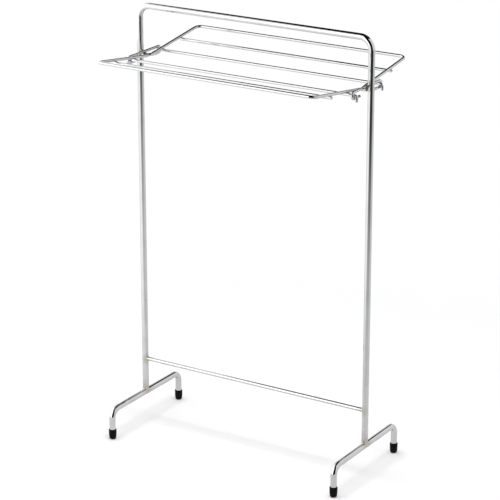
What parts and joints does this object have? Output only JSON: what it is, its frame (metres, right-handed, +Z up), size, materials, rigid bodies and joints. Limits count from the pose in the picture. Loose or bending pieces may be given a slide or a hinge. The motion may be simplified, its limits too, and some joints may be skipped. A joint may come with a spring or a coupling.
{
  "type": "valet stand",
  "caption": "Free-standing valet stand of bent chromed tube on two rubber-tipped feet, with a low cross rod and a folding wire rack to the front and rear of the uprights.",
  "frame": {"origin": "on the floor, under the middle of the frame", "axes": "+Z up, X along the width from the left foot to the right foot, +Y towards the rear rack"},
  "size_m": [0.6698, 0.4454, 1.1104],
  "materials": {
    "chrome_tube": "polished",
    "chrome_wire": "polished",
    "black_rubber": "matt"
  },
  "bodies": {
    "frame": {"frame_hoop": "chrome_tube", "left_foot": "chrome_tube", "right_foot": "chrome_tube", "cross_rod": "chrome_tube", "left_hinge_bracket": "chrome_wire", "right_hinge_bracket": "chrome_wire", "left_front_ferrule": "black_rubber", "left_rear_ferrule": "black_rubber", "right_front_ferrule": "black_rubber", "right_rear_ferrule": "black_rubber"},
    "front_rack": {"front_rack_border": "chrome_wire", "front_rack_middle_rod": "chrome_wire", "front_rack_hinge_rod": "chrome_wire"},
    "rear_rack": {"rear_rack_border": "chrome_wire", "rear_rack_middle_rod": "chrome_wire", "rear_rack_hinge_rod": "chrome_wire"}
  },
  "joints": [
    {"name": "front_rack_fold", "type": "hinge", "parent": "frame", "child": "front_rack", "pos_m": [0, -0.061, 0.978], "axis": [-1, 0, 0], "range_deg": [0, 99]},
    {"name": "rear_rack_fold", "type": "hinge", "parent": "frame", "child": "rear_rack", "pos_m": [0, 0.061, 0.978], "axis": [1, 0, 0], "range_deg": [0, 99]}
  ]
}
